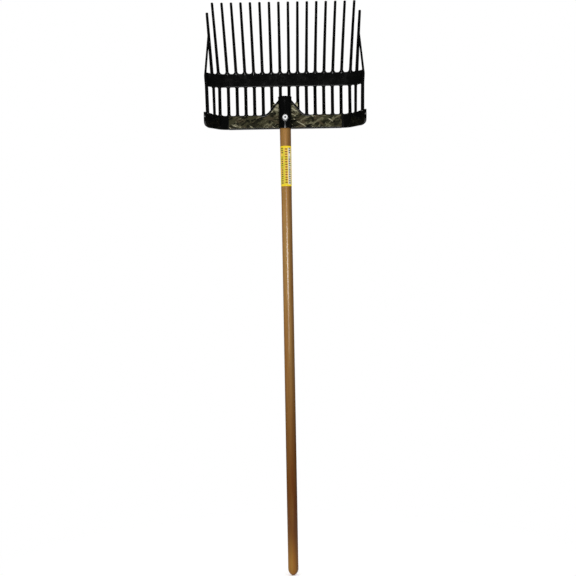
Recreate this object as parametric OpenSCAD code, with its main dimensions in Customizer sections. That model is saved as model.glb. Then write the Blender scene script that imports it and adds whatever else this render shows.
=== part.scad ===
// Stable fork with a moulded basket head of eighteen tines on a straight wooden handle.
// It stands upright on its butt end, head up, with the carrying side of the basket facing -Y.
// The handle's axis is the Z axis and the origin is the middle of the butt end.

/* [Handle] */
// Height of the socket's mouth above the butt end
mouth_z = 1159; // [900:1:1400]
// Diameter of the parallel part of the handle
handle_d = 27; // [24:0.1:28]
// Diameter of the handle where it enters the socket
swell_d = 29; // [28:0.1:30]
// Length over which the handle swells towards the head
swell_l = 180; // [80:1:300]
// Radius of the curve that narrows the butt end, seen from the side
butt_r = 20; // [14:0.5:26]
// Diameter of the small flat at the butt end
butt_flat_d = 6; // [4:0.5:10]

/* [Label] */
// Height of the label
label_h = 104; // [60:1:120]
// Distance from the top of the label up to the socket's mouth
label_gap = 46; // [20:1:80]
// How far the label goes round the handle, in degrees
label_wrap = 300; // [180:5:340]
// Thickness of the label
label_t = 0.25; // [0.1:0.05:0.5]

/* [Socket] */
// Outside diameter of the socket
socket_d = 35; // [33:0.1:36]
// Height of the socket with its closed top
socket_h = 83; // [78:1:95]
// Depth of the socket's bore
bore_depth = 75; // [60:1:76]
// Diameter of the bore at its closed end
bore_end_d = 27; // [26:0.1:28]
// Height of the screw above the socket's mouth
screw_h = 27; // [22:0.5:32]
// Diameter of the flat seat under the washer
seat_d = 20; // [19:0.5:21]
// How far that seat stands out in front of the socket
seat_rise = 1.2; // [0.5:0.1:2]

/* [Screw and washer] */
// Diameter of the screw's head
screw_head_d = 13; // [10:0.1:14]
// Height of the screw's head
screw_head_h = 4.6; // [3.5:0.1:6]
// Radius of the crown on the head
crown_r = 11; // [7:0.5:20]
// Length of the slots of the cross recess
recess_l = 6.5; // [5:0.1:8]
// Width of those slots
recess_w = 1.4; // [1:0.1:2]
// Depth of the cross recess
recess_depth = 2.3; // [1:0.1:2.5]
// Diameter of the screw's shank
shank_d = 4.8; // [4:0.1:5]
// Length of the screw under its head
shank_l = 28; // [20:1:34]
// Outside diameter of the washer
washer_d = 17.2; // [16:0.1:18.5]
// Thickness of the washer
washer_t = 1.5; // [1:0.1:2]

/* [Base of the basket] */
// Height of the base plate and the end cups
base_h = 36; // [30:0.5:38]
// Wall thickness of the base plate, the webs and the end cups
wall_t = 5; // [4:0.5:6]
// Width of the straight part of the base plate
flat_w = 292; // [290:1:294]
// Inside radius of the bend at which an end cup turns forward
bend_r = 30; // [26:1:34]
// How far it turns there, in degrees
bend_turn = 56; // [50:1:60]
// Length of the slanting wall between that bend and the cup's corner
slant_l = 49.8; // [44:0.1:52]
// Inside radius of the cup's corner, where the wall turns straight forward
corner_r = 17; // [12:1:20]
// Length of the straight lip in front of each end cup
lip_l = 6; // [4:1:20]
// Radius of the lower front corner of the lip
lip_corner_r = 30; // [10:1:32]
// Depth of the ledge along the foot of the plate's back
ledge_d = 5; // [3:0.5:6]
// Thickness of that ledge
ledge_t = 3; // [2:0.5:4]

/* [Webs beside the socket] */
// Distance from the handle's axis to the foot of a web
web_reach = 61; // [54:0.5:62]
// Radius of the hollow curve at the foot of a web
web_r = 26; // [18:1:28]
// Slope of a web's edge above that curve, in degrees
web_slope = 50.5; // [44:0.5:52]

/* [Tines] */
// Number of full tines
tine_count = 16; // [12:2:16]
// Pitch of the tines at the base plate
root_pitch = 22.45; // [22:0.01:22.6]
// Pitch of the tines at the crossbar's underside
bar_pitch = 22.5; // [22.4:0.01:22.8]
// Pitch of the tines at their tips
tip_pitch = 24.2; // [23.5:0.01:24.5]
// Height of the tips above the base plate
tine_rise = 282; // [240:1:300]
// How far the tips reach forward of the roots
tine_reach = 55; // [35:1:70]
// Width of a tine at its root
root_w = 8.6; // [7:0.1:9]
// Width of a tine at the crossbar
bar_w = 8.4; // [7:0.1:9]
// Width of a tine at its tip
tip_w = 6.6; // [5:0.1:7]
// Depth of a tine at its root
root_depth = 10; // [9:0.5:11]
// Depth of a tine at its tip
tip_depth = 6; // [5:0.5:7]

/* [Side tines] */
// Distance of a side tine's root from the middle of the head
side_root_x = 181.7; // [180:0.1:184]
// Distance of a side tine from the middle at the crossbar's underside
side_bar_x = 183.9; // [182:0.1:187]
// Distance of a side tine from the middle at the crossbar's top
side_turn_x = 187.1; // [185:0.1:189]
// Distance of a side tine's tip from the middle
side_tip_x = 195; // [193:0.1:197]
// Width of a side tine at its root
side_root_w = 7.2; // [6:0.1:8]
// Width of a side tine at the crossbar's underside
side_bar_w = 7.6; // [6:0.1:9]
// Width of a side tine at the crossbar's top
side_turn_w = 8.8; // [7:0.1:9.5]
// Width of a side tine at its tip
side_tip_w = 6.8; // [5:0.1:7]
// Height of the side tines' tips above the base plate
side_rise = 257; // [245:1:264]

/* [Side rails] */
// Distance of a rail's foot from the middle of the head
rail_foot_x = 197.8; // [196.5:0.1:198.5]
// Distance of a rail from the middle at the crossbar's underside
rail_bar_x = 200.2; // [199:0.1:201]
// Distance of a rail's knee from the middle, at the end of the crossbar
rail_knee_x = 202.7; // [201:0.1:203.5]
// Distance of a rail from the middle at the crossbar's top
rail_turn_x = 202.3; // [201:0.1:203]
// Distance of a rail's top from the middle
rail_top_x = 192.9; // [192:0.1:193.5]
// Width of a rail at its foot
rail_foot_w = 9.2; // [7:0.1:9.5]
// Width of a rail at the crossbar's underside
rail_bar_w = 8.8; // [6:0.1:9.5]
// Width of a rail at its knee
rail_knee_w = 7.4; // [6:0.1:8]
// Width of a rail at the crossbar's top
rail_turn_w = 5.8; // [5:0.1:7]
// Width of a rail at its top
rail_top_w = 5; // [4:0.1:6]
// How far the knee lies below the crossbar's top
knee_drop = 9; // [6:0.5:14]
// Depth of a rail from front to back, up to the crossbar
rail_d = 9; // [7:0.5:10]
// Depth of a rail at its top
rail_top_d = 6.2; // [5:0.1:6.4]
// Height of a rail's top above the base plate
rail_rise = 205; // [195:1:215]

/* [Crossbar] */
// Height of the crossbar's underside above the base plate
bar_rise = 73; // [70:0.5:80]
// Height of the crossbar
bar_h = 34.5; // [28:0.5:36]
// Thickness of the crossbar
bar_t = 7.5; // [6.5:0.5:8]
// Thickness of the crossbar in front of the tines that lie in its back
bar_cover = 2; // [1.5:0.1:2.5]
// Width of the straight part of the crossbar
bar_flat_w = 305; // [300:1:310]
// Inside radius of the bends at its ends
bar_bend_r = 50.5; // [48:0.5:54]

/* [Film] */
// Width of the decorative film, from one outer end to the other
film_w = 292; // [270:1:296]
// Bare margin above the film and along the webs
film_margin = 1.6; // [1:0.1:2.5]
// Bare margin below the film
film_foot = 3.2; // [1:0.1:5]
// Thickness of the film
film_t = 0.3; // [0.2:0.1:0.5]

/* [Hidden] */
$fn = 96;
arc_fn = 720;
arc_steps = 10;
tine_names = [for (i = [1 : tine_count]) str("tine_", i < 10 ? "0" : "", i)];

black = [0.06, 0.06, 0.06];
wood = [0.66, 0.46, 0.24];
zinc = [0.82, 0.82, 0.80];
olive = [0.36, 0.35, 0.24];
yellow = [0.90, 0.75, 0.24];

slack = 1;
seam = 0.3;
hole_play = 0.6;
base_top = mouth_z + base_h;
plate_y = 1;
back_y = plate_y + wall_t;
seat_y = -(socket_d / 2 + seat_rise);
screw_z = mouth_z + screw_h;

// The basket's wall in plan: straight for flat_w, a bend, a slanting wall, a corner and a lip.
// wall_y is how far the middle of the wall has come forward at x, up to the corner.
cup_x = flat_w / 2;
wall_mid_r = bend_r + wall_t / 2;
slant_x = cup_x + wall_mid_r * sin(bend_turn);
slant_y = wall_mid_r * (cos(bend_turn) - 1);
function wall_y(x) =
    x < cup_x ? 0
    : x < slant_x ? sqrt(wall_mid_r ^ 2 - (x - cup_x) ^ 2) - wall_mid_r
    : slant_y - (x - slant_x) * tan(bend_turn);

// A tine's front and back faces are arcs that start upright at the top of the base plate
front_drop = tine_reach - (root_depth - tip_depth) / 2;
back_drop = tine_reach + (root_depth - tip_depth) / 2;
front_r = (tine_rise ^ 2 + front_drop ^ 2) / (2 * front_drop);
back_r = (tine_rise ^ 2 + back_drop ^ 2) / (2 * back_drop);
function front_y(rise) = plate_y + sqrt(front_r ^ 2 - rise ^ 2) - front_r;
function rear_y(rise) = plate_y + root_depth + sqrt(back_r ^ 2 - rise ^ 2) - back_r;

// The crossbar keeps a thin wall in front of the tines that lie in its back.
// bar_shift is how far its inside has come forward at x.
bar_z = base_top + bar_rise;
bar_y = front_y(bar_rise + bar_h / 2) - bar_cover;
bar_bend_x = bar_flat_w / 2;
function bar_shift(x) =
    x < bar_bend_x ? 0 : sqrt(bar_bend_r ^ 2 - (x - bar_bend_x) ^ 2) - bar_bend_r;

// Height of the butt end's curve, and radius of the handle at a height above it
butt_h = sqrt(butt_r ^ 2 - (butt_r - (handle_d - butt_flat_d) / 2) ^ 2);
function handle_r(z) =
    z < mouth_z - swell_l ? handle_d / 2
    : handle_d / 2 + (swell_d - handle_d) / 2 * (z - mouth_z + swell_l) / swell_l;

// Turns a flat drawing of Y and Z into a solid along X, and one of X and Z into a solid along Y
module along_x(x0, x1) {
    translate([x0, 0, 0]) rotate([90, 0, 90]) {
        for (i = [0 : $children - 1]) linear_extrude(x1 - x0) children(i);
    }
}

module along_y(y0, y1) {
    translate([0, y1, 0]) rotate([90, 0, 0]) {
        for (i = [0 : $children - 1]) linear_extrude(y1 - y0) children(i);
    }
}

module left() {
    mirror([1, 0, 0]) children();
}

// A solid through level rectangles from the lowest to the highest.
// Each ring holds its middle in X, Y and Z, its width along X and its depth along Y.
module stack(rings) {
    corners = [[-1, -1], [1, -1], [1, 1], [-1, 1]] / 2;
    top = 4 * (len(rings) - 1);
    points = [for (r = rings, c = corners) [r[0] + c[0] * r[3], r[1] + c[1] * r[4], r[2]]];
    sides = [
        for (i = [0 : 4 : top - 4], s = [0 : 3])
            [i + s, i + 4 + s, i + 4 + (s + 1) % 4, i + (s + 1) % 4]
    ];
    polyhedron(points, concat([[0, 1, 2, 3]], sides, [[top + 3, top + 2, top + 1, top]]));
}

module handle_body() {
    rotate_extrude() {
        intersection() {
            translate([handle_d / 2 - butt_r, butt_h]) circle(butt_r);
            square([handle_d, butt_h]);
        }
        polygon([
            [0, butt_h], [handle_d / 2, butt_h], [handle_d / 2, mouth_z - swell_l],
            [swell_d / 2, mouth_z], [bore_end_d / 2, mouth_z + bore_depth], [0, mouth_z + bore_depth],
        ]);
    }
}

// A rod along Y at the height of the screw, from the front backwards
module screw_rod(d, y0, y1) {
    translate([0, y1, screw_z]) rotate([90, 0, 0]) cylinder(d = d, h = y1 - y0);
}

module handle() {
    color(wood) difference() {
        handle_body();
        screw_rod(shank_d, -socket_d, seat_y - washer_t + shank_l);
    }
}

module label() {
    top = mouth_z - label_gap;
    foot = top - label_h;
    edge = mouth_z - swell_l;
    heights = foot < edge ? [foot, edge, top] : [foot, top];
    back = len(heights) - 1;
    color(yellow) rotate([0, 0, -90 - label_wrap / 2]) rotate_extrude(angle = label_wrap)
        polygon(concat(
            [for (z = heights) [handle_r(z), z]],
            [for (i = [back : -1 : 0]) [handle_r(heights[i]) + label_t, heights[i]]]
        ));
}

module socket_body() {
    translate([0, 0, mouth_z]) cylinder(d = socket_d, h = socket_h);
    screw_rod(seat_d, seat_y, 0);
}

module socket() {
    color(black) difference() {
        socket_body();
        handle_body();
        screw_rod(shank_d + hole_play, seat_y - slack, 0);
    }
}

module screw() {
    head_y = seat_y - washer_t;
    color(zinc) {
        difference() {
            translate([0, head_y, screw_z]) rotate([90, 0, 0]) rotate_extrude() intersection() {
                square([screw_head_d / 2, screw_head_h]);
                translate([0, screw_head_h - crown_r]) circle(crown_r);
            }
            for (turn = [0, 90])
                translate([0, head_y - screw_head_h, screw_z]) rotate([0, turn, 0])
                    cube([recess_l, 2 * recess_depth, recess_w], center = true);
        }
        screw_rod(shank_d, head_y, head_y + shank_l);
    }
}

module washer() {
    color(zinc) difference() {
        screw_rod(washer_d, seat_y - washer_t, seat_y);
        screw_rod(shank_d + hole_play, seat_y - washer_t - slack, seat_y + slack);
    }
}

// The room that the socket takes out of the plates and webs
module socket_room() {
    cylinder(d = socket_d, h = base_top + socket_h);
}

module base_plate() {
    color(black) difference() {
        union() {
            translate([0, plate_y, mouth_z]) cube([cup_x, wall_t, base_h]);
            translate([0, plate_y, mouth_z]) cube([cup_x, wall_t + ledge_d, ledge_t]);
        }
        socket_room();
    }
}

// Front outline of a web in X and Z: a hollow curve, then a straight slope up to the socket.
// An inset draws it smaller, for the film.
module web_outline(inset) {
    r = web_r + inset;
    end_x = web_reach - r * sin(web_slope);
    end_z = base_top + web_r - r * cos(web_slope);
    foot_x = web_reach - sqrt(r ^ 2 - web_r ^ 2);
    difference() {
        polygon([
            [0, base_top], [foot_x, base_top], [end_x, end_z],
            [0, end_z + end_x * tan(web_slope)],
        ]);
        translate([web_reach, base_top + web_r]) circle(r);
    }
}

module web() {
    color(black) difference() {
        along_y(plate_y, back_y) web_outline(0);
        socket_room();
    }
}

module film() {
    color(olive) difference() {
        along_y(plate_y - film_t, plate_y) {
            translate([0, mouth_z + film_foot])
                square([film_w / 2, base_h - film_foot - film_margin]);
            translate([0, base_top - film_margin - slack])
                square([web_reach - sqrt((web_r + film_margin) ^ 2 - web_r ^ 2), film_margin + slack]);
            web_outline(film_margin);
        }
        translate([0, 0, mouth_z]) cylinder(d = socket_d, h = base_h + socket_h);
    }
}

// Points in plan on an arc about a middle, drawn as short flats
function flats(mid, r, from, to) =
    [for (i = [0 : arc_steps]) let (a = from + (to - from) * i / arc_steps) mid + r * [cos(a), sin(a)]];

// A bend, a slanting wall, a corner and a straight lip, with its lower front corner rounded
module end_cup() {
    turn = 90 - bend_turn;
    bend = [cup_x, plate_y - bend_r];
    corner = bend + (bend_r - corner_r) * [cos(turn), sin(turn)] + slant_l * [sin(turn), -cos(turn)];
    lip_x = corner[0] + corner_r;
    lip_y = corner[1] - lip_l;
    color(black) difference() {
        translate([0, 0, mouth_z]) linear_extrude(base_h) polygon(concat(
            flats(bend, bend_r, 90, turn),
            flats(corner, corner_r, turn, 0),
            [[lip_x, lip_y], [lip_x + wall_t, lip_y]],
            flats(corner, corner_r + wall_t, 0, turn),
            flats(bend, bend_r + wall_t, turn, 90)
        ));
        along_x(cup_x, lip_x + 2 * wall_t) difference() {
            translate([lip_y - slack, mouth_z - slack]) square(lip_corner_r + slack);
            translate([lip_y + lip_corner_r, mouth_z + lip_corner_r]) circle(lip_corner_r);
        }
    }
}

// Side view of a tine in Y and Z from one height above the base plate to another, between its arcs
module tine_side(from, rise) {
    difference() {
        intersection() {
            translate([plate_y + root_depth - back_r, base_top]) circle(back_r, $fn = arc_fn);
            translate([plate_y - 2 * tine_reach, base_top + from])
                square([3 * tine_reach, rise - from + slack]);
        }
        translate([plate_y - front_r, base_top]) circle(front_r, $fn = arc_fn);
    }
}

// Side view of the rib in which a tine carries on down the back of the plate
module rib_side() {
    translate([back_y, mouth_z + ledge_t]) square([root_depth - wall_t, base_h - ledge_t + slack]);
}

// Front view of a tine in X and Z. At each level it has its middle and its width.
module tine_front(mid_x, width, levels) {
    last = len(levels) - 1;
    polygon(concat(
        [for (i = [0 : last]) [mid_x[i] - width[i] / 2, levels[i]]],
        [for (i = [last : -1 : 0]) [mid_x[i] + width[i] / 2, levels[i]]]
    ));
}

// Rib, free length and round tip. The levels run from the root past the crossbar's underside to
// the middle of the tip. A tine that stands on an end cup leans back to the crossbar from there,
// because the cup reaches further forward than the end of the bar. The leaning part ends a hair
// inside the edges of the part above it.
module tine_body(mid_x, width, levels) {
    last = len(levels) - 1;
    span = width[0] + abs(mid_x[last] - mid_x[0]);
    tip_r = width[last] / 2;
    rise = levels[last] + tip_r - base_top;
    foot_y = wall_y(abs(mid_x[0]));
    shift = bar_shift(abs(mid_x[1]));
    on_cup = foot_y < 0;
    front = front_y(bar_rise);
    rear = rear_y(bar_rise);
    translate([0, foot_y, 0])
        along_x(mid_x[0] - width[0] / 2, mid_x[0] + width[0] / 2) rib_side();
    if (on_cup) {
        mid_y = plate_y + root_depth / 2 + foot_y;
        stack([
            [mid_x[0], mid_y, base_top, width[0], root_depth],
            [mid_x[0], mid_y, base_top + 2 * slack, width[0], root_depth],
            [mid_x[1], (front + rear) / 2 + shift, bar_z, width[1] - 2 * seam, rear - front - 2 * seam],
        ]);
    }
    translate([0, shift, 0]) intersection() {
        along_x(mid_x[0] - span, mid_x[0] + span) tine_side(on_cup ? bar_rise : 0, rise);
        along_y(plate_y - 2 * tine_reach, 2 * root_depth) {
            tine_front(mid_x, width, levels);
            translate([mid_x[last], levels[last]]) circle(tip_r);
        }
    }
}

// Tine i is counted from the left. The two middle tines stand on the top of the socket.
module full_tine(i) {
    place = i - (tine_count + 1) / 2;
    middle = abs(place) < 1;
    outer = i == 1 || i == tine_count;
    levels = [base_top, bar_z, base_top + tine_rise - tip_w / 2];
    color(black) difference() {
        tine_body(place * [root_pitch, bar_pitch, tip_pitch], [root_w, bar_w, tip_w], levels);
        if (middle) {
            cylinder(r = 2 * socket_d, h = mouth_z + socket_h);
        } else if (outer && place > 0) {
            end_cup();
        } else if (outer) {
            left() end_cup();
        } else if (place > 0) {
            web();
        } else {
            left() web();
        }
    }
}

module side_tine_body() {
    tine_body(
        [side_root_x, side_bar_x, side_turn_x, side_tip_x],
        [side_root_w, side_bar_w, side_turn_w, side_tip_w],
        [base_top, bar_z, bar_z + bar_h, base_top + side_rise - side_tip_w / 2]
    );
}

module side_tine() {
    color(black) difference() {
        side_tine_body();
        end_cup();
    }
}

// A rail climbs from the end cup past the end of the crossbar and runs out on the side tine
module rail_body() {
    foot_y = plate_y + wall_t / 2 + wall_y(rail_foot_x);
    bar_mid_r = bar_bend_r + bar_t / 2;
    at_bar_y = bar_y - bar_bend_r + sqrt(bar_mid_r ^ 2 - (rail_turn_x - bar_bend_x) ^ 2);
    top_y = bar_shift(side_bar_x) + (front_y(rail_rise) + rear_y(rail_rise)) / 2;
    stack([
        [rail_foot_x, foot_y, base_top, rail_foot_w, rail_d],
        [rail_bar_x, at_bar_y, bar_z, rail_bar_w, rail_d],
        [rail_knee_x, at_bar_y, bar_z + bar_h - knee_drop, rail_knee_w, rail_d],
        [rail_turn_x, at_bar_y, bar_z + bar_h, rail_turn_w, rail_d],
        [rail_top_x, top_y, base_top + rail_rise, rail_top_w, rail_top_d],
    ]);
}

module side_rail() {
    color(black) difference() {
        rail_body();
        side_tine_body();
    }
}

module crossbar() {
    color(black) difference() {
        translate([-bar_bend_x, bar_y, bar_z]) cube([bar_flat_w, bar_t, bar_h]);
        for (i = [2 : tine_count - 1]) full_tine(i);
    }
}

module crossbar_end() {
    sweep = acos((rail_turn_x - rail_turn_w / 4 - bar_bend_x) / (bar_bend_r + bar_t / 2));
    color(black) difference() {
        translate([bar_bend_x, bar_y - bar_bend_r, bar_z]) rotate([0, 0, sweep])
            rotate_extrude(angle = 90 - sweep) translate([bar_bend_r, 0]) square([bar_t, bar_h]);
        full_tine(tine_count);
        side_tine();
        rail_body();
    }
}

handle();
label();
socket();
screw();
washer();
left() base_plate();  // base_plate_left
base_plate();  // base_plate_right
left() web();  // web_left
web();  // web_right
left() end_cup();  // end_cup_left
end_cup();  // end_cup_right
left() film();  // film_left
film();  // film_right
crossbar();
left() crossbar_end();  // crossbar_end_left
crossbar_end();  // crossbar_end_right
left() side_tine();  // side_tine_left
side_tine();  // side_tine_right
left() side_rail();  // side_rail_left
side_rail();  // side_rail_right
for (i = [1 : tine_count]) full_tine(i);
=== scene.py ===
import math

import bpy
import numpy as np
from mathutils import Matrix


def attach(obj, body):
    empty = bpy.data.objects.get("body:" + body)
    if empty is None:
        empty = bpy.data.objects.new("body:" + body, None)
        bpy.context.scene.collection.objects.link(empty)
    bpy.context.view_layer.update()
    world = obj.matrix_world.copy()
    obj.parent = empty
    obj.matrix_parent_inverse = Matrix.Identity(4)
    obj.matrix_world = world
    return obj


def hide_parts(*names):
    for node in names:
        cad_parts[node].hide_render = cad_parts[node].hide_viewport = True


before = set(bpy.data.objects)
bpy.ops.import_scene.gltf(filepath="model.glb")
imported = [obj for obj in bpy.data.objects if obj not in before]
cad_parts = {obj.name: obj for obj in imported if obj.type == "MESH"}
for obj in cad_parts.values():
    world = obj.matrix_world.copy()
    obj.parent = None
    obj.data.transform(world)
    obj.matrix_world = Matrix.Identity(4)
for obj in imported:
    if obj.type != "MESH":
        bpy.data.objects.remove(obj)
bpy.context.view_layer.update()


# The handle: one straight hardwood rod, turned, sanded and varnished. It swells a little towards the
# head, narrows to a rounded butt, and its upper end is driven into the blind bore of the head's socket.
handle_r = 13.5
butt_curve, butt_flat = 20.0, 3.0
swell_from, mouth_z, mouth_r = 979.0, 1159.0, 14.5
bore_end_z, bore_end_r = 1234.0, 13.5


def skin(name, rings):
    """A closed skin over rings[i, j], points in millimetres. Quads join each ring to the next, and the
    last point of a ring to its first. The two end rings close on a point in their own middle. The faces
    are turned round where the volume that they enclose comes out negative."""
    count, around = rings.shape[:2]
    index = np.arange(count * around).reshape(count, around)
    after = np.roll(index, -1, axis=1)
    quads = np.stack([index[:-1], after[:-1], after[1:], index[1:]], axis=-1).reshape(-1, 4)
    start = np.stack([after[0], index[0], np.full(around, count * around)], axis=-1)
    end = np.stack([index[-1], after[-1], np.full(around, count * around + 1)], axis=-1)
    points = np.concatenate([rings.reshape(-1, 3), rings[[0, -1]].mean(axis=1)])
    corners = points[np.concatenate([quads[:, :3], quads[:, [0, 2, 3]], start, end])]
    volume = np.sum(corners[:, 0] * np.cross(corners[:, 1], corners[:, 2]))
    turn = 1 if volume > 0 else -1
    mesh = bpy.data.meshes.new(name)
    faces = quads[:, ::turn].tolist() + start[:, ::turn].tolist() + end[:, ::turn].tolist()
    mesh.from_pydata(points / 1000, [], faces)
    mesh.shade_smooth()
    mesh.set_sharp_from_angle(angle=math.radians(38))
    return mesh


def turned(profile, steps):
    """Rings of a turned shape: each profile point (radius, height) goes once round the Z axis."""
    angle = np.linspace(0, 2 * np.pi, steps, endpoint=False)
    radius, height = np.asarray(profile, float).T[:, :, None]
    return np.stack([radius * np.cos(angle), radius * np.sin(angle), height + 0 * angle], axis=-1)


def arc(middle, radius, start, end, steps):
    """Points on an arc in the plane: middle + radius * (cos, sin) from start to end, in degrees."""
    angle = np.radians(np.linspace(start, end, steps))
    return np.asarray(middle) + radius * np.stack([np.cos(angle), np.sin(angle)], axis=-1)


def fit(mesh, material, slot, *nodes):
    """Puts a finished mesh on the fork in its material, in the place of the CAD nodes named."""
    piece = bpy.data.objects.new(mesh.name, mesh)
    bpy.context.scene.collection.objects.link(piece)
    mesh.materials.append(material)
    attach(piece, "root")
    if nodes:
        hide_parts(*nodes)
    return piece


class Wire:
    """An output of a shader node. Arithmetic and comparison on it add Math nodes and give a new wire."""

    def __init__(self, paint, socket):
        self.paint = paint
        self.socket = socket

    def math(self, operation, *values):
        settings = {"operation": operation}
        return self.paint.node("ShaderNodeMath", settings, dict(enumerate(values)))

    def __add__(self, other):
        return self.math("ADD", self, other)

    def __radd__(self, other):
        return self.math("ADD", other, self)

    def __sub__(self, other):
        return self.math("SUBTRACT", self, other)

    def __rsub__(self, other):
        return self.math("SUBTRACT", other, self)

    def __mul__(self, other):
        return self.math("MULTIPLY", self, other)

    def __rmul__(self, other):
        return self.math("MULTIPLY", other, self)

    def __truediv__(self, other):
        return self.math("DIVIDE", self, other)

    def __rtruediv__(self, other):
        return self.math("DIVIDE", other, self)

    def __pow__(self, other):
        return self.math("POWER", self, other)

    def __gt__(self, other):
        return self.math("GREATER_THAN", self, other)

    def __lt__(self, other):
        return self.math("LESS_THAN", self, other)


class Paint:
    """The nodes of one material, lamp or world."""

    def __init__(self, owner):
        owner.use_nodes = True
        self.tree = owner.node_tree

    def node(self, kind, settings=None, sockets=None, output=0):
        """Adds a node: its settings and a ramp's stops first, then the values or wires of its sockets."""
        node = self.tree.nodes.new(kind)
        for key, value in (settings or {}).items():
            if key == "stops":
                self.set_stops(node.color_ramp.elements, value)
            else:
                setattr(node, key, value)
        for key, value in (sockets or {}).items():
            self.plug(node.inputs[key], value)
        return Wire(self, node.outputs[output])

    def set_stops(self, elements, stops):
        while len(elements) < len(stops):
            elements.new(0.5)
        for element, (place, colour) in zip(elements, stops):
            element.position = place
            element.color = (*colour, 1)

    def plug(self, socket, value):
        if isinstance(value, Wire):
            self.tree.links.new(value.socket, socket)
        elif socket.type == "RGBA":
            socket.default_value = (*value, 1)
        else:
            socket.default_value = value

    def place(self):
        """The point being shaded, in metres in the fork's own frame, as a vector and as x, y and z."""
        vector = self.node("ShaderNodeTexCoord", output="Object")
        split = self.node("ShaderNodeSeparateXYZ", sockets={0: vector})
        outputs = split.socket.node.outputs
        return vector, *[Wire(self, outputs[axis]) for axis in range(3)]

    def stretch(self, vector, scale):
        """The vector times scale, axis by axis."""
        return self.node("ShaderNodeVectorMath", {"operation": "MULTIPLY"}, {0: vector, 1: scale})

    def noise(self, vector, scale, detail=2, roughness=0.5):
        sockets = {"Vector": vector, "Scale": scale, "Detail": detail, "Roughness": roughness}
        return self.node("ShaderNodeTexNoise", None, sockets)

    def rise(self, value, low, high):
        """0 below low, 1 above high and a smooth step between them."""
        sockets = {"Value": value, "From Min": low, "From Max": high}
        return self.node("ShaderNodeMapRange", {"interpolation_type": "SMOOTHSTEP"}, sockets)

    def mix(self, mask, first, second):
        """A colour: first where the mask is 0, second where it is 1."""
        sockets = {0: mask, 6: first, 7: second}
        return self.node("ShaderNodeMix", {"data_type": "RGBA"}, sockets, output=2)

    def bump(self, height, distance, strength=1.0):
        sockets = {"Height": height, "Distance": distance, "Strength": strength}
        return self.node("ShaderNodeBump", None, sockets)

    def finish(self, **values):
        """Sets the sockets of the material's own shader. An underscore stands for a space."""
        shader = self.tree.nodes["Principled BSDF"]
        for key, value in values.items():
            self.plug(shader.inputs[key.replace("_", " ")], value)


def varnished_wood():
    """Growth rings are a wave of the distance from a pith that lies beside the rod, so that they run down
    its front as fine lines and curve across its end. The stain is darkest in the lower part. Painted shade
    darkens the rod's right side."""
    material = bpy.data.materials.new("varnished_wood")
    paint = Paint(material)
    vector, x, y, z = paint.place()
    drift = paint.noise(paint.stretch(vector, (9, 9, 1.1)), 1.0, 3)
    pith = (x + 0.052) ** 2 + (y - 0.014) ** 2
    distance = pith ** 0.5 + drift * 0.006
    wave = (distance * (2 * math.pi / 0.0023)).math("SINE", distance * (2 * math.pi / 0.0023))
    late = (wave * 0.5 + 0.5) ** 3
    fibre = paint.noise(paint.stretch(vector, (900, 900, 14)), 1.0, 4, 0.6)
    pores = paint.rise(paint.noise(paint.stretch(vector, (1500, 1500, 38)), 1.0, 2), 0.62, 0.7)
    flame = paint.rise(paint.noise(paint.stretch(vector, (70, 70, 3.2)), 1.0, 3), 0.35, 0.68)
    streak = paint.rise(paint.noise(paint.stretch(vector, (130, 130, 9)), 1.0, 3), 0.42, 0.66)
    light = paint.mix(flame, (0.405, 0.232, 0.068), (0.355, 0.163, 0.038))
    dark = paint.mix(flame, (0.150, 0.052, 0.005), (0.115, 0.028, 0.002))
    foot = paint.mix(flame, (0.40, 0.215, 0.034), (0.40, 0.150, 0.014))
    stained = paint.mix(paint.rise(z, 0.20, 0.80), dark, light)
    base = paint.mix((1 - paint.rise(z, 0.02, 0.13)) * 0.66, stained, foot)
    toned = paint.mix(streak * 0.22, base, (0.20, 0.115, 0.028))
    grained = paint.mix(late * 0.34 + paint.rise(fibre, 0.45, 0.7) * 0.22, toned, (0.09, 0.034, 0.009))
    # Painted shade: the rod's right side is darkened in its colour.
    right_side_painted_shade = paint.mix(paint.rise(x + drift * 0.004, 0.0025, 0.012) * 0.53, grained, (0.05, 0.016, 0.003))
    pored = paint.mix(pores * 0.35, right_side_painted_shade, (0.045, 0.018, 0.007))
    end_grain = 1 - paint.rise(z + drift * 0.002, 0.001, 0.007)
    colour = paint.mix(end_grain * 0.6, pored, (0.07, 0.03, 0.012))
    height = fibre * 0.6 - pores * 1.0 - late * 0.3
    paint.finish(
        Base_Color=colour,
        Roughness=0.42 + fibre * 0.12,
        Coat_Weight=0.14 + paint.rise(z, 0.40, 0.62) * 0.80,
        Coat_Roughness=0.12,
        Specular_IOR_Level=0.08,
        Normal=paint.bump(height, 0.00006, 0.5),
    )
    return material


butt_mid = handle_r - butt_curve
butt_top = math.sqrt(butt_curve**2 - (butt_flat - butt_mid) ** 2)
butt_angle = math.degrees(math.asin(-butt_top / butt_curve))
butt = arc((butt_mid, butt_top), butt_curve, butt_angle, 0, 18)
shaft = np.stack([np.full(24, handle_r), np.linspace(butt_top, swell_from, 25)[1:]], axis=-1)
handle_profile = np.concatenate([butt, shaft, [(mouth_r, mouth_z), (bore_end_r, bore_end_z)]])
wood = varnished_wood()
fit(skin("handle_rod", turned(handle_profile, 96)), wood, "varnished_wood", "handle")


# The socket: a closed-topped sleeve in the middle of the head, moulded in one with it in glossy black
# plastic. A flat seat on its front takes the washer. Its walls swell a hair at the mouth and the cap.
socket_r, socket_top = 17.5, 1242.0
seat_r, seat_y, screw_z = 10.0, -18.7, 1186.0


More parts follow.
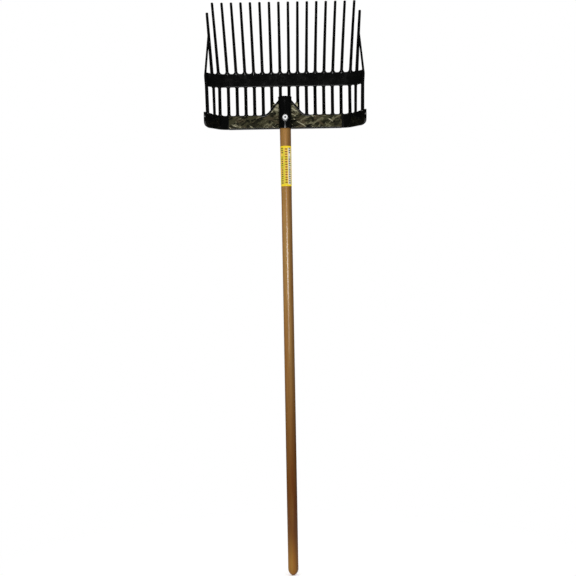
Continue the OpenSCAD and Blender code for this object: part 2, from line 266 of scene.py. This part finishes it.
def black_plastic():
    """Glossy black moulding: faint flow waves and a fine satin texture, both slight."""
    material = bpy.data.materials.new("black_plastic")
    paint = Paint(material)
    vector = paint.place()[0]
    flow = paint.noise(paint.stretch(vector, (60, 60, 22)), 1.0, 2)
    satin = paint.noise(vector, 1400.0, 2)
    rub = paint.rise(paint.noise(vector, 55.0, 4, 0.62), 0.45, 0.75)
    colour = paint.mix(rub, (0.0016, 0.0017, 0.0016), (0.0034, 0.0035, 0.0031))
    paint.finish(
        Base_Color=colour,
        Roughness=0.08 + rub * 0.05,
        Normal=paint.bump(flow * 1.0 + satin * 0.05, 0.0002, 0.5),
    )
    return material


black = black_plastic()
socket_profile = np.concatenate([
    [(bore_end_r * 0.3, bore_end_z), (bore_end_r, bore_end_z), (mouth_r, mouth_z + 1.2)],
    arc((mouth_r + 1.0, mouth_z + 0.8), 0.8, 180, 270, 4),
    arc((socket_r - 0.9, mouth_z + 0.9), 0.9, 270, 360, 5),
    [(socket_r - 0.35, mouth_z + 22), (socket_r - 0.45, 1215.0), (socket_r - 0.3, 1230.0)],
    arc((socket_r - 1.2, socket_top - 1.2), 1.2, 0, 90, 9),
])
fit(skin("socket_sleeve", turned(socket_profile, 96)), black, "black_plastic", "socket")


def facing_front(rings, height):
    """Lays a turned shape on its side at a height: its axis points to the front, towards -Y."""
    x, y, z = np.moveaxis(rings, -1, 0)
    return np.stack([x, -z, y + height], axis=-1)


seat_profile = np.concatenate([[(seat_r, 6.0)], arc((seat_r - 0.7, -seat_y - 0.7), 0.7, 0, 90, 5)])
fit(skin("washer_seat", facing_front(turned(seat_profile, 64), screw_z)), black, "black_plastic")


# The screw and its washer: a zinc-plated pan head with a cross recess, over a crowned washer. They hold
# the handle in the socket from the front.
washer_r, washer_hole, washer_t = 8.6, 2.7, 1.5
head_r, head_h, recess_h, recess_reach, recess_half, recess_well = 6.5, 4.6, 2.3, 3.3, 0.7, 2.3
shank_r, shank_end = 2.4, 8.8


def zinc_plate():
    """Zinc plate: fine crystals that change its gloss. Painted shade makes the washer dark metal and the bottom
    of the recess near black, and the head is painted white and made less metallic as a painted highlight.
    """
    material = bpy.data.materials.new("zinc_plate")
    paint = Paint(material)
    vector, x, y, z = paint.place()
    grain = paint.noise(vector, 2600.0, 3, 0.6)
    cloud = paint.noise(vector, 240.0, 2)
    face = (seat_y - washer_t) / 1000
    head = 1 - paint.rise(y, face - 0.0006, face - 0.0002)
    recess = paint.rise(y, -head_h / 1000 + face + 0.0004, -head_h / 1000 + face + 0.0010)
    # Painted shade: the bottom of the cross recess is coloured near black.
    near = ((x ** 2 + (z - screw_z / 1000) ** 2) ** 0.5 < 0.0034) * recess
    plated = paint.mix(cloud, (0.96, 0.96, 0.96), (0.90, 0.91, 0.91))
    # Painted shade and painted highlight: the washer is coloured dark metal, and the head is coloured white and
    # made less metallic so that it shows as bright as glare.
    painted_washer_shade_and_head_glare = paint.mix(head, (0.11, 0.11, 0.105), plated)
    colour = paint.mix(near, painted_washer_shade_and_head_glare, (0.02, 0.02, 0.02))
    paint.finish(
        Base_Color=colour,
        Metallic=1.0 - head * 0.75,
        Roughness=0.30 + head * 0.12 + grain * 0.10,
        Normal=paint.bump(grain, 0.00002, 0.5),
    )
    return material


zinc = zinc_plate()
washer_profile = np.concatenate([
    [(washer_hole, 0.0)],
    arc((washer_hole + 0.3, washer_t - 0.3), 0.3, 180, 90, 4),
    [(head_r - 0.6, washer_t), (washer_r - 1.4, washer_t)],
    arc((washer_r - 1.1, washer_t - 1.1), 1.1, 90, 0, 8),
    [(washer_r - 0.3, 0.0)],
]) + (0, -seat_y)
washer_rings = facing_front(turned(np.vstack([washer_profile, washer_profile[:1]]), 80), screw_z)


def hoop(name, rings):
    """A skin over rings that close on themselves: the last ring lies on the first and is left out."""
    count, around = rings.shape[0] - 1, rings.shape[1]
    index = np.arange(count * around).reshape(count, around)
    right, down = np.roll(index, -1, axis=1), np.roll(index, -1, axis=0)
    quads = np.stack([index, right, np.roll(down, -1, axis=1), down], axis=-1).reshape(-1, 4)
    points = rings[:-1].reshape(-1, 3)
    corners = points[np.concatenate([quads[:, :3], quads[:, [0, 2, 3]]])]
    turn = 1 if np.sum(corners[:, 0] * np.cross(corners[:, 1], corners[:, 2])) > 0 else -1
    mesh = bpy.data.meshes.new(name)
    mesh.from_pydata(points / 1000, [], quads[:, ::turn].tolist())
    mesh.shade_smooth()
    mesh.set_sharp_from_angle(angle=math.radians(38))
    return mesh


fit(hoop("screw_washer", washer_rings), zinc, "zinc_plate", "washer")


def cross_recess(x, z):
    """Depth of a cross recess: two slots at right angles, each as deep as a bar with sloping walls and
    ends, and a round well with a sloping wall where they cross."""
    def slot(along, across):
        wall = np.clip((recess_half + 0.15 - np.abs(across)) / 0.3, 0, 1)
        end = np.clip((recess_reach - np.abs(along)) / 1.1, 0, 1)
        return wall * wall * (3 - 2 * wall) * end
    well = np.clip((recess_well - np.hypot(x, z)) / 1.1, 0, 1)
    return recess_h * np.maximum(well, np.maximum(slot(x, z), slot(z, x)))


crown_r, shoulder_r = 14.0, 1.7
ring_r = np.concatenate([np.linspace(0.08, 4.2, 56), np.linspace(4.3, head_r - shoulder_r, 4)])
crown = np.stack([ring_r, head_h - crown_r + np.sqrt(crown_r**2 - ring_r**2)], axis=-1)[::-1]
shoulder = arc((head_r - shoulder_r, crown[0, 1] - shoulder_r - 0.1), shoulder_r, 0, 76, 10)
skirt = [(shank_r, -shank_end), (shank_r, 0.0), (head_r - 0.4, 0.0), (head_r, 0.3)]
screw_rings = turned(np.concatenate([skirt, shoulder, crown]) + (0, washer_t - seat_y), 192)
screw_rings[4:, :, 2] -= cross_recess(screw_rings[4:, :, 0], screw_rings[4:, :, 1])
screw_mesh = skin("pan_head_screw", facing_front(screw_rings, screw_z))
fit(screw_mesh, zinc, "zinc_plate", "screw")


# The base of the basket: one wall of the moulding, straight behind and bent forward at both ends into
# cups with a short lip. A ledge runs along the foot of its back.
base_top, plate_y, wall_t = 1195.0, 1.0, 5.0
flat_half, bend_r, bend_turn, slant_l, corner_r = 146.0, 30.0, 56.0, 49.8, 17.0
lip_l, lip_corner = 6.0, 30.0
ledge_back, ledge_top = 11.0, 1162.0


def basket_plan(back, *steps):
    """Middle line of a wall in plan from left end to right end, and its outward direction. It starts in
    the middle of the fork at y = back. Each step is a straight run (length, 0) or a bend (radius, degrees)
    towards the front."""
    plan, out, heading = [np.array([[0.0, back]])], [np.array([[0.0, 1.0]])], 0.0
    for size, turn in steps:
        part = np.linspace(0, 1, 25)[1:, None]
        angle = heading + np.radians(turn) * part
        normal = np.hstack([np.sin(angle), np.cos(angle)])
        straight = size * part * (math.cos(heading), -math.sin(heading))
        bend = size * (normal - (math.sin(heading), math.cos(heading)))
        plan.append(plan[-1][-1] + (bend if turn else straight))
        out.append(normal)
        heading = heading + math.radians(turn)
    plan, out, mirror = np.concatenate(plan), np.concatenate(out), np.array([-1, 1])
    return np.concatenate([plan[:0:-1] * mirror, plan]), np.concatenate([out[:0:-1] * mirror, out])


def rounded(half_a, half_b, radius, steps=6):
    """Outlines of rounded rectangles, one for each size given: four quarter circles about the corners
    (half_a - radius, half_b - radius). A point on the straight side next to each end of a quarter keeps
    the sides flat in the light."""
    half_a, half_b, radius = [np.atleast_1d(v)[:, None] for v in (half_a, half_b, radius)]
    quarter = np.linspace(0, np.pi / 2, steps)[np.r_[0, :steps, steps - 1]]
    angle = np.concatenate([quarter + turn * np.pi / 2 for turn in range(4)])
    first, last = np.zeros(steps + 2), np.zeros(steps + 2)
    first[0] = last[-1] = 1
    inset_a = np.concatenate([last, first, last, first]) * np.minimum(0.4, (half_a - radius) / 3)
    inset_b = np.concatenate([first, last, first, last]) * np.minimum(0.4, (half_b - radius) / 3)
    side_a = np.repeat([1, -1, -1, 1], steps + 2)
    side_b = np.repeat([1, 1, -1, -1], steps + 2)
    a = side_a * (half_a - radius - inset_a) + radius * np.cos(angle)
    b = side_b * (half_b - radius - inset_b) + radius * np.sin(angle)
    return a, b


def wall(plan, out, offset, height):
    """Rings of a wall: each section point lies offset out from the plan line, at its height."""
    flat = plan[:, None] + out[:, None] * offset[..., None]
    return np.concatenate([flat, np.broadcast_to(height, offset.shape)[..., None]], axis=-1)


plan, out = basket_plan(
    plate_y + wall_t / 2,
    (flat_half, 0), (bend_r + wall_t / 2, bend_turn), (slant_l, 0),
    (corner_r + wall_t / 2, 90 - bend_turn), (lip_l, 0),
)
from_end = plan[:, 1] - plan[-1, 1]
near_end = np.clip(lip_corner - from_end, 0, lip_corner)
low = mouth_z + lip_corner - np.sqrt(lip_corner**2 - near_end**2 + 1e-9)
nose = np.sqrt(np.clip(1 - np.clip(1 - from_end / 2.5, 0, 1) ** 2, 0.02, 1))
brim = np.clip((np.abs(plan[:, 0]) - 186) / 5, 0, 1)
high = base_top - 2.0 * (1 - nose) + 1.8 * brim * brim * (3 - 2 * brim)
thickness = wall_t / 2 * nose
offset, height = rounded(thickness, (high - low) / 2, np.minimum(0.6, thickness * 0.98))
base_rings = wall(plan, out, offset, height + ((high + low) / 2)[:, None])
fit(
    skin("basket_base", base_rings), black, "black_plastic",
    "base_plate_left", "base_plate_right", "end_cup_left", "end_cup_right",
)
ledge_x = np.linspace(-flat_half, flat_half, 5)
ledge_y, ledge_z = rounded((ledge_back - plate_y) / 2 - 0.6, (ledge_top - mouth_z) / 2, 0.9)
ledge_rings = np.stack(np.broadcast_arrays(
    ledge_x[:, None],
    ledge_y + (ledge_back + plate_y) / 2 + 0.6,
    ledge_z + (ledge_top + mouth_z) / 2,
), axis=-1)
fit(skin("base_ledge", ledge_rings), black, "black_plastic")


# The tines: slim fingers that rise from the base, pass the crossbar and curve forward. Small rounds in
# the mould widen each one where it meets the base and the bar, and a ridge runs out on the wall below.
tine_count, tine_rise, tine_reach = 16, 282.0, 55.0
pitches, widths = np.array([22.45, 22.5, 24.2]), (8.6, 8.4, 6.6)
root_depth, tip_depth = 10.0, 6.0
bar_low, bar_high = 1268.0, 1302.5
bar_flat, bar_bend_r = 152.5, 50.5
side_x, side_widths, side_rise = np.array([181.7, 183.9, 187.1, 195.0]), (7.2, 7.6, 8.8, 6.8), 257.0


def arc_radius(drop):
    """Radius of an arc that starts upright and has come drop forward at the height of the tips."""
    return (tine_rise**2 + drop**2) / (2 * drop)


front_r = arc_radius(tine_reach - (root_depth - tip_depth) / 2)
rear_r = arc_radius(tine_reach + (root_depth - tip_depth) / 2)


def front_y(rise):
    """The tines' front face: plate_y + sqrt(front_r^2 - rise^2) - front_r, upright at the base."""
    return plate_y + np.sqrt(front_r**2 - np.maximum(rise, 0) ** 2) - front_r


def rear_y(rise):
    """The tines' back face: the same curve with its own radius, root_depth behind the front."""
    return plate_y + root_depth + np.sqrt(rear_r**2 - np.maximum(rise, 0) ** 2) - rear_r


def wall_y(x):
    """How far the base wall has come forward at x, round its bend and along its slant."""
    mid_r, turn = bend_r + wall_t / 2, math.radians(bend_turn)
    past = min(max(x - flat_half, 0), mid_r * math.sin(turn))
    beyond = max(x - flat_half - past, 0)
    return math.sqrt(mid_r**2 - past**2) - mid_r - beyond * math.tan(turn)


def bar_shift(x):
    """How far the crossbar has come forward at x, round its bend."""
    return math.sqrt(bar_bend_r**2 - max(x - bar_flat, 0) ** 2) - bar_bend_r


def fillet(distance, radius, fade):
    """Extra half width beside an edge: radius - sqrt(radius^2 - (radius - distance)^2) within radius of
    it. Behind the edge it fades out over a length of fade."""
    near = np.clip(radius - distance, 0, radius)
    return (radius - np.sqrt(radius**2 - near**2)) * np.clip(1 + distance / fade, 0, 1)


def squircle(half_a, half_b, power, steps, front_power=None):
    """Closed curves |a / half_a|^power + |b / half_b|^power = 1, one for each pair of sizes. The front
    half, where b is negative, can have a power of its own."""
    angle = np.linspace(0, 2 * np.pi, steps, endpoint=False)
    c, s = np.cos(angle), np.sin(angle)
    power = np.where(s < 0, front_power or power, power)
    a = np.sign(c) * np.abs(c) ** (2 / power)
    b = np.sign(s) * np.abs(s) ** (2 / power)
    return half_a[:, None] * a, half_b[:, None] * b


def tine(mid_x, width, rise, foot, round_low, round_high, on_plate=True):
    """Level rings from foot to tip. The middle and the width run straight between root, crossbar and
    tip, front and back follow their arcs, and fillets widen the rings at the base and at the bar. A tine
    on an end cup leans back from it to the bar. Where the tine stands on a wall, a low ridge runs 4 mm
    down its face and the rest stays inside. The front is a ridge, and the tip is blunt."""
    tip = base_top + rise
    tip_r = width[-1] / 2
    blunt = 0.6 * tip_r
    level = np.concatenate([
        np.linspace(mouth_z + 1, foot - 8, 4)[:-1] if on_plate else [],
        np.linspace(foot - 8, foot + 4, 25)[:-1],
        np.linspace(foot + 4, bar_low - 4, 14)[:-1],
        np.linspace(bar_low - 4, bar_low + 5, 15)[:-1],
        np.linspace(bar_low + 5, bar_high - 12, 5)[:-1],
        np.linspace(bar_high - 12, bar_high + 8, 36)[:-1],
        np.linspace(bar_high + 8, tip - blunt, 48),
        tip - blunt + blunt * np.sin(np.linspace(0, np.pi / 2, 9))[1:-1],
        [tip - 0.01],
    ])
    up = level - base_top
    knots = [0, bar_low - base_top, bar_high - base_top, rise - tip_r]
    if len(width) == 3:
        del knots[2]
    x = np.interp(up, knots, mid_x)
    half = np.interp(up, knots, np.array(width) / 2)
    half = half + fillet(level - foot, round_low, 4.0) + fillet(bar_low - level, 2.0, 4.0)
    half = half + fillet(level - bar_high, round_high, 4.0)
    front, rear = front_y(up), rear_y(up)
    ridge = np.clip(1 - (foot - level) / 4, 0, 1) * np.clip(1 - (level - foot) / 4, 0, 1)
    front = front - 1.0 * ridge
    if on_plate:
        front = np.where(level < foot - 4, plate_y + 2.5, front)
    shrink = np.sqrt(np.clip(1 - (np.maximum(level - (tip - blunt), 0) / blunt) ** 2, 0.0005, 1))
    a, b = squircle(half * shrink, (rear - front) / 2 * shrink, 2.4, 32, front_power=1.3)
    shift = np.interp(up, knots[:2], [wall_y(abs(mid_x[0])), bar_shift(abs(mid_x[1]))])
    y = b + ((front + rear) / 2 + shift)[:, None]
    return np.stack(np.broadcast_arrays(a + x[:, None], y, level[:, None]), axis=-1)


for number in range(1, tine_count + 1):
    place = number - (tine_count + 1) / 2
    if abs(place) < 1:
        rings = tine(place * pitches, widths, tine_rise, socket_top, 3.0, 7.0, on_plate=False)
    elif abs(place) < 2:
        rings = tine(place * pitches, widths, tine_rise, 1214.4, 0.0, 7.0)
    else:
        rings = tine(place * pitches, widths, tine_rise, base_top, 5.0, 7.0)
    node = f"tine_{number:02d}"
    fit(skin("moulded_" + node, rings), black, "black_plastic", node)

for side, name in ((-1, "side_tine_left"), (1, "side_tine_right")):
    rings = tine(side * side_x, side_widths, side_rise, base_top, 3.0, 2.0)
    fit(skin("moulded_" + name, rings), black, "black_plastic", name)


# The crossbar: a band of the moulding that ties all tines together a third of the way up, and bends
# forward at its ends like the base below it. It leans with the tines, which break through its top edge.
bar_t, bar_front = 6.2, -5.1
bar_lean = 0.026
rail_turn_x, rail_turn_w = 202.3, 5.8
bar_mid_r = bar_bend_r + 3.75
bar_bend_y = front_y((bar_low + bar_high) / 2 - base_top) - 2 - bar_bend_r
bar_sweep = 90 - math.degrees(math.acos((rail_turn_x - rail_turn_w / 4 - bar_flat) / bar_mid_r))

plan, out = basket_plan(bar_bend_y + bar_mid_r, (bar_flat, 0), (bar_mid_r, bar_sweep))
offset, height = rounded(bar_t / 2, (bar_high - bar_low) / 2, 1.1)
offset = offset + (bar_front + bar_t / 2 - bar_bend_y - bar_mid_r) - bar_lean * (height + 17)
band_rings = wall(plan, out, np.repeat(offset, len(plan), 0), height + (bar_low + bar_high) / 2)
fit(
    skin("crossbar_band", band_rings), black, "black_plastic",
    "crossbar", "crossbar_end_left", "crossbar_end_right",
)


# The side rails: the outer edges of the basket. Each climbs from the end cup, takes in the end of the
# crossbar and leans back to run out on the side tine.
rail_levels = np.array([base_top, bar_low, bar_high - 9, bar_high, base_top + 205])
rail_x = np.array([197.8, 200.2, 202.7, rail_turn_x, 192.9])
rail_w = np.array([9.2, 8.8, 7.4, rail_turn_w, 5.0])
rail_d = np.array([9.0, 9.0, 9.0, 9.0, 6.2])
rail_foot_y = plate_y + wall_t / 2 + wall_y(rail_x[0])
rail_at_bar_y = bar_bend_y + math.sqrt(bar_mid_r**2 - (rail_turn_x - bar_flat) ** 2)
rail_top_y = bar_shift(side_x[1]) + (front_y(205) + rear_y(205)) / 2
rail_y = np.array([rail_foot_y, rail_at_bar_y, rail_at_bar_y, rail_at_bar_y, rail_top_y])


def side_rail(side):
    """Level rings between the knots of the rail, with their corners eased over 5 mm. The foot thins to
    go down inside the cup's wall."""
    level = np.concatenate([
        np.linspace(base_top - 7, base_top + 3, 12)[:-1],
        np.linspace(base_top + 3, base_top + 204, 84),
    ])
    ease = np.linspace(-5, 5, 11)
    x, y, w, d = [
        np.mean([np.interp(level + step, rail_levels, knots) for step in ease], axis=0)
        for knots in (rail_x, rail_y, rail_w, rail_d)
    ]
    inside = np.clip((base_top - level) / 6, 0, 1)
    half_w = w / 2 + fillet(level - base_top, 3.0, 3.0) - 1.6 * inside
    half_d = d / 2 - 2.6 * inside
    a, b = squircle(half_w, half_d, 3.0, 24)
    parts = side * (a + x[:, None]), b + y[:, None], level[:, None]
    return np.stack(np.broadcast_arrays(*parts), axis=-1)


for side, name in ((-1, "side_rail_left"), (1, "side_rail_right")):
    fit(skin("moulded_" + name, side_rail(side)), black, "black_plastic", name)


# The webs: two flared plates that brace the socket on the base. A raised rib follows each one's edge
# from the socket to its foot, and a small corner fills the angle to the first tine beside the socket.
web_reach, web_r, web_slope = 61.0, 26.0, math.radians(50.5)
rib_w, rib_proud = 4.6, 1.6
corner_from, corner_to, corner_h = 24.6, 33.7, 13.0


def web_edge(x):
    """Height of a web's edge: the slope down from the socket, then the hollow curve at its foot."""
    end_x = web_reach - web_r * math.sin(web_slope)
    end_z = base_top + web_r * (1 - math.cos(web_slope))
    hollow = np.sqrt(np.maximum(web_r**2 - (web_reach - x) ** 2, 0))
    curve = np.where(x < web_reach, base_top + web_r - hollow, base_top)
    return np.where(x < end_x, end_z + (end_x - x) * math.tan(web_slope), curve)


def web_top(x):
    """Height of the plate: its edge, with the corner that climbs to the tine and ends behind it."""
    climb = np.clip((x - corner_from) / (corner_to - 3.9 - corner_from), 0, 1)
    return web_edge(x) + corner_h * climb**1.4 * (x < corner_to)


def plate(x, low, high, front, back, edge):
    """Rings of an upright plate: at each x a rounded outline from low to high and from front to back."""
    y, z = rounded((back - front) / 2, (high - low) / 2, edge, 4)
    parts = x[:, None], y + (front + back) / 2, z + ((high + low) / 2)[:, None]
    return np.stack(np.broadcast_arrays(*parts), axis=-1)


web_x = np.concatenate([np.linspace(10, 24, 8), np.linspace(24.6, 33.6, 19), np.linspace(33.8, 64, 42)])
rib_x = np.concatenate([np.linspace(12.5, 38, 24), np.linspace(39, 64.5, 32)])
for side, name in ((-1, "left"), (1, "right")):
    mirror = np.array([side, 1, 1])
    low = np.full(len(web_x), base_top - 6)
    rings = plate(web_x, low, web_top(web_x), plate_y, plate_y + wall_t, 0.7)
    fit(skin("web_" + name + "_plate", rings * mirror), black, "black_plastic", "web_" + name)
    slope = np.gradient(web_edge(rib_x), rib_x)
    tilt = np.sqrt(1 + slope**2)
    mid_z = web_edge(rib_x) - rib_w / 2 * tilt + 0.25
    a, b = squircle(rib_w / 2 * tilt, np.full(len(rib_x), rib_proud), 7.0, 32)
    parts = rib_x[:, None], b + plate_y - 0.15, a + mid_z[:, None]
    rings = np.stack(np.broadcast_arrays(*parts), axis=-1)
    fit(skin("web_" + name + "_rib", rings * mirror), black, "black_plastic")


# The film: a printed plastic film with a woodland pattern in olive and brown, bonded to the front of
# the base and the webs on each side of the socket, with a thin bare margin round it.
film_end, film_t, margin, film_foot = 146.0, 0.3, 1.6, 3.2


def printed_film():
    """Overlapping patches and slanting strokes, each the part of a stretched noise above a level: dark
    ground, olive, brown, then pale khaki strokes, more of them on the webs and, as painted light, beside the
    socket, and black ones. A clear lacquer over the print gives it its gloss."""
    material = bpy.data.materials.new("printed_film")
    paint = Paint(material)
    vector, x, y, z = paint.place()
    high = paint.rise(z, base_top / 1000 - 0.004, base_top / 1000 + 0.012)
    right = paint.rise(x, 0.02, 0.07)
    side = x.math("ABSOLUTE", x)
    # Painted light: pale strokes are made more frequent beside the socket, so the film there looks lit.
    near = 1 - paint.rise(side, 0.018, 0.050)

    def patch(turn, scale, shift, level, soft=0.02, detail=3):
        """1 inside the patches. Their long side turns with the angle, in degrees from the level."""
        along = x * math.cos(math.radians(turn)) + z * math.sin(math.radians(turn)) + shift
        across = z * math.cos(math.radians(turn)) - x * math.sin(math.radians(turn))
        flat = paint.node("ShaderNodeCombineXYZ", None, {0: along * scale[0], 2: across * scale[1]})
        return paint.rise(paint.noise(flat, 1.0, detail, 0.58) - level, 0.0, soft)

    ground = paint.mix(patch(10, (50, 80), 1.3, 0.42, 0.2), (0.007, 0.007, 0.004), (0.019, 0.018, 0.010))
    olive = paint.mix(patch(25, (32, 75), 2.1, 0.48), ground, (0.045, 0.043, 0.022))
    brown = paint.mix(patch(-20, (28, 64), 3.7, 0.55), olive, (0.062, 0.050, 0.028))
    extra = high * 0.10 + near * 0.05 + right * 0.02
    khaki = paint.mix(patch(35, (32, 92), 5.2, 0.575 - extra, 0.03), brown, (0.135, 0.128, 0.076))
    pale = paint.mix(patch(-32, (26, 150), 7.9, 0.62 - extra, 0.05, 3), khaki, (0.36, 0.34, 0.23))
    black_stroke = paint.mix(patch(12, (22, 110), 9.4, 0.56, 0.03), pale, (0.003, 0.003, 0.002))
    grainy = paint.mix(paint.noise(vector, 900.0, 3, 0.6) * 0.3, black_stroke, (0.010, 0.010, 0.006))
    paint.finish(
        Base_Color=grainy,
        Roughness=0.6,
        Specular_IOR_Level=0.0,
        Coat_Weight=0.6,
        Coat_Roughness=0.07,
        Normal=paint.bump(paint.noise(vector, 180.0, 2), 0.0002, 0.2),
    )
    return material


film = printed_film()
film_x = np.concatenate([np.linspace(17.2, 24, 6), np.linspace(24.6, 33.6, 19), np.linspace(33.8, film_end, 70)])
for side, name in ((-1, "film_left"), (1, "film_right")):
    low = np.full(len(film_x), mouth_z + film_foot)
    rings = plate(film_x, low, web_top(film_x) - margin, plate_y - film_t, plate_y + 0.2, 0.12)
    fit(skin("printed_" + name, rings * np.array([side, 1, 1])), film, "film", name)


# The label: a yellow laminated sleeve of paper, stuck most of the way round the handle under the head.
# Its print here is a plain scale of marks that say nothing.
label_low, label_high, label_t, label_wrap = 1009.0, 1113.0, 0.25, 300.0


def laminated_label():
    """Yellow ground with a brighter border at top and bottom, a row of brown lozenges down the middle
    and short dark ticks at both sides, drawn from the angle round the handle and the height."""
    material = bpy.data.materials.new("laminated_label")
    paint = Paint(material)
    vector, x, y, z = paint.place()
    across = x.math("ARCTAN2", x, 0 - y) * 13.6
    up = z * 1000 - label_low
    fleck = paint.noise(vector, 700.0, 3)
    step = 6.6
    beat = ((up / step).math("FRACT", up / step) - 0.5) * step
    size = beat.math("ABSOLUTE", beat)
    side = (across - 0.6).math("ABSOLUTE", across - 0.6)
    inside = paint.rise(up, 4.5, 5.0) * (1 - paint.rise(up, 99.0, 99.5))
    lozenge = (1 - paint.rise(side * 0.60 + size, 2.2, 2.5)) * inside
    tick_beat = ((up / 5.6).math("FRACT", up / 5.6) - 0.5) * 5.6
    tick_size = tick_beat.math("ABSOLUTE", tick_beat)
    off = across.math("ABSOLUTE", across)
    tick = (1 - paint.rise(tick_size, 1.35, 1.6)) * paint.rise(off, 7.2, 7.5) * (1 - paint.rise(off, 12.4, 12.7))
    gone = paint.rise(paint.noise(paint.stretch(vector, (0, 0, 1)), 62.0, 1), 0.36, 0.44)
    strip = paint.rise(across, 5.2, 5.5) * (1 - paint.rise(across, 13.2, 13.5))
    tint = paint.rise(paint.noise(vector, 90.0, 1), 0.40, 0.62)
    field = paint.mix(tint, (0.62, 0.53, 0.038), (0.78, 0.51, 0.08))
    ground = paint.mix(inside, (0.80, 0.60, 0.020), field)
    pale = paint.mix(strip * inside, ground, (0.66, 0.62, 0.50))
    brown = paint.mix(lozenge * 0.95, pale, (0.22, 0.048, 0.004))
    dark = paint.mix(tick * inside * gone * 0.95, brown, (0.035, 0.035, 0.02))
    colour = paint.mix(paint.rise(fleck, 0.5, 0.8) * 0.2, dark, (0.55, 0.42, 0.12))
    paint.finish(
        Base_Color=colour,
        Roughness=0.5,
        Coat_Weight=0.2,
        Coat_Roughness=0.15,
        Specular_IOR_Level=0.08,
        Normal=paint.bump(fleck, 0.0001, 0.2),
    )
    return material


label_angle = np.radians(np.linspace(-90 - label_wrap / 2, -90 + label_wrap / 2, 97))[:, None]
label_out, label_z = rounded(label_t / 2, (label_high - label_low) / 2, 0.1, 3)
label_z = label_z + (label_high + label_low) / 2
swell = (mouth_r - handle_r) * (label_z - swell_from) / (mouth_z - swell_from)
label_r = handle_r + swell + label_out + label_t / 2 + 0.02
label_rings = np.stack(np.broadcast_arrays(
    label_r * np.cos(label_angle), label_r * np.sin(label_angle), label_z,
), axis=-1)
fit(skin("handle_label", label_rings), laminated_label(), "label", "label")


# The studio: a white floor and a white world behind the fork, a soft lamp beside the camera and one
# overhead. Camera, mirror and glass rays see plain white, and the floor keeps the fork's soft shadow.
def seen_directly(paint):
    """1 for rays that look: camera, glossy and transmission rays."""
    rays = paint.node("ShaderNodeLightPath").socket.node.outputs
    total = Wire(paint, rays["Is Camera Ray"]) + Wire(paint, rays["Is Glossy Ray"])
    total = total + Wire(paint, rays["Is Transmission Ray"])
    return total.math("MINIMUM", total, 1.0)


world = bpy.data.worlds.new("studio")
bpy.context.scene.world = world
paint = Paint(world)
sky = paint.tree.nodes["Background"]
rays = paint.node("ShaderNodeLightPath").socket.node.outputs
camera_ray, glossy_ray = Wire(paint, rays["Is Camera Ray"]), Wire(paint, rays["Is Glossy Ray"])
clear_ray = Wire(paint, rays["Is Transmission Ray"])
way = paint.node("ShaderNodeTexCoord", output="Generated")
split = paint.node("ShaderNodeSeparateXYZ", sockets={0: way})
behind = paint.rise(Wire(paint, split.socket.node.outputs[1]), 0.97, 0.998)
plain = (camera_ray + clear_ray).math("MINIMUM", camera_ray + clear_ray, 1.0)
mirrored = glossy_ray * (0.03 + behind * 0.97)
lit = (1 - plain) * (1 - glossy_ray) * 0.80
paint.plug(sky.inputs["Strength"], plain + mirrored * (1 - plain) + lit)
paint.plug(sky.inputs["Color"], (1.0, 1.0, 1.0))


def white_floor():
    """A pale matt floor. To the eye its light is lifted to plain white, all of it away from the fork."""
    material = bpy.data.materials.new("white_floor")
    paint = Paint(material)
    tree = paint.tree
    x, y = paint.place()[1:3]
    away = paint.rise((x**2 + y**2) ** 0.5, 0.25, 0.85)
    matt = paint.node("ShaderNodeBsdfDiffuse", None, {"Color": (0.86, 0.86, 0.86)})
    glow = paint.node("ShaderNodeEmission", None, {"Color": (1, 1, 1), "Strength": 1.0})
    lift = paint.node("ShaderNodeEmission", None, {"Color": (1, 1, 1), "Strength": 0.30})
    near = paint.node("ShaderNodeAddShader", None, {0: matt, 1: lift})
    shown = paint.node("ShaderNodeMixShader", None, {0: away, 1: near, 2: glow})
    both = paint.node("ShaderNodeMixShader", None, {0: seen_directly(paint), 1: matt, 2: shown})
    paint.plug(tree.nodes["Material Output"].inputs["Surface"], both)
    return material


floor_rings = turned([(900.0, -20.0), (900.0, -0.3), (40.0, -0.3)], 96)
floor = bpy.data.objects.new("floor", skin("floor", floor_rings))
floor.data.materials.append(white_floor())
bpy.context.scene.collection.objects.link(floor)


def softbox(name, place, aim, width, height, watts):
    """A rectangular soft lamp at a place in metres, turned to shine on the point aim."""
    lamp = bpy.data.lights.new(name, "AREA")
    lamp.shape = "RECTANGLE"
    lamp.size, lamp.size_y = width, height
    lamp.energy = watts
    holder = bpy.data.objects.new(name, lamp)
    bpy.context.scene.collection.objects.link(holder)
    holder.location = place
    back = np.array(place) - np.array(aim)
    yaw = math.atan2(back[0], -back[1])
    pitch = math.atan2(math.hypot(back[0], back[1]), back[2])
    holder.rotation_euler = (pitch, 0, yaw)
    return holder


softbox("key", (-0.25, -3.3, 0.865), (0, 0, 0.865), 1.4, 0.34, 13.5)
softbox("key_surround", (-0.25, -3.32, 0.815), (0, 0, 0.815), 1.4, 0.80, 10.5)
softbox("fill", (-0.25, -3.3, 1.38), (0, 0, 1.38), 1.4, 0.36, 1.8)
softbox("overhead", (0.3, -1.3, 2.9), (0, 0, 1.1), 1.8, 1.2, 13)


# The camera: level, square to the fork and about three metres in front of it, at half its height. The
# fork leans a little to the left in the picture, so the camera is rolled.
camera = bpy.data.cameras.new("camera")
camera.sensor_width = 36.0
camera.lens = 72.23
camera.clip_end = 50.0
viewer = bpy.data.objects.new("camera", camera)
bpy.context.scene.collection.objects.link(viewer)
viewer.location = (-0.0005, -3.0, 0.7542)
viewer.rotation_euler = (math.radians(89.837), math.radians(1.038), 0)
bpy.context.scene.camera = viewer
bpy.context.scene.view_settings.view_transform = "Standard"
